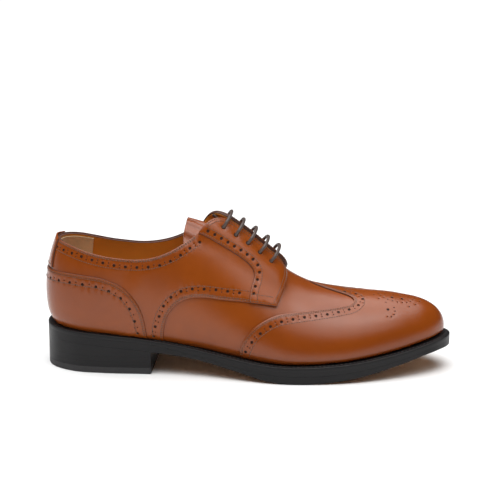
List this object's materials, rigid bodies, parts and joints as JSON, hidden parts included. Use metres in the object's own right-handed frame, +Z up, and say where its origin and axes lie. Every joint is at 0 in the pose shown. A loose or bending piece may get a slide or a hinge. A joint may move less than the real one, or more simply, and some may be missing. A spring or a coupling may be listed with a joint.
{
  "type": "derby brogue shoe",
  "caption": "Laced leather dress shoe with open lacing, wing tip, punched seams, welted leather sole and stacked heel.",
  "frame": {"origin": "on the ground under the middle of the shoe's bounding box", "axes": "+X to the toe, +Z up, -Y to the wearer's outer side (a right shoe)"},
  "size_m": [0.3076, 0.107, 0.1173],
  "materials": {
    "calf": "burnished tan calf, glossy",
    "lining": "vegetable tanned lining calf, matt",
    "suede": "reversed leather, matt",
    "stiffener": "leatherboard, matt",
    "insole": "natural shoulder leather, matt",
    "cork": "bound cork",
    "shank": "spring steel",
    "sole_edge": "black dressed edge, satin",
    "rubber": "black rubber",
    "nail": "brass",
    "lace": "waxed round cotton"
  },
  "bodies": {
    "shoe": {"vamp": "calf", "wing_cap": "calf", "quarter_outer": "calf", "quarter_inner": "calf", "facing_outer": "calf", "facing_inner": "calf", "counter_cover": "calf", "back_strap": "calf", "vamp_lining": "lining", "quarter_lining_outer": "lining", "quarter_lining_inner": "lining", "heel_grip": "suede", "toe_puff": "stiffener", "heel_counter": "stiffener", "insole": "insole", "sock_lining": "insole", "cork_filler": "cork", "shank": "shank", "welt": "sole_edge", "heel_rand": "sole_edge", "midsole": "sole_edge", "outsole": "sole_edge", "heel_lift_1": "sole_edge", "heel_lift_2": "sole_edge", "heel_wedge": "sole_edge", "heel_top_piece": "rubber", "heel_nail_1": "nail", "heel_nail_2": "nail", "heel_nail_3": "nail", "heel_nail_4": "nail", "heel_nail_5": "nail", "shoelace": "lace"},
    "tongue": {"tongue": "calf"}
  },
  "joints": [
    {"name": "tongue_fold", "type": "hinge", "parent": "shoe", "child": "tongue", "pos_m": [0.01333, 0.0035, 0.084], "axis": [0, -1, 0], "range_deg": [0, 10]}
  ]
}
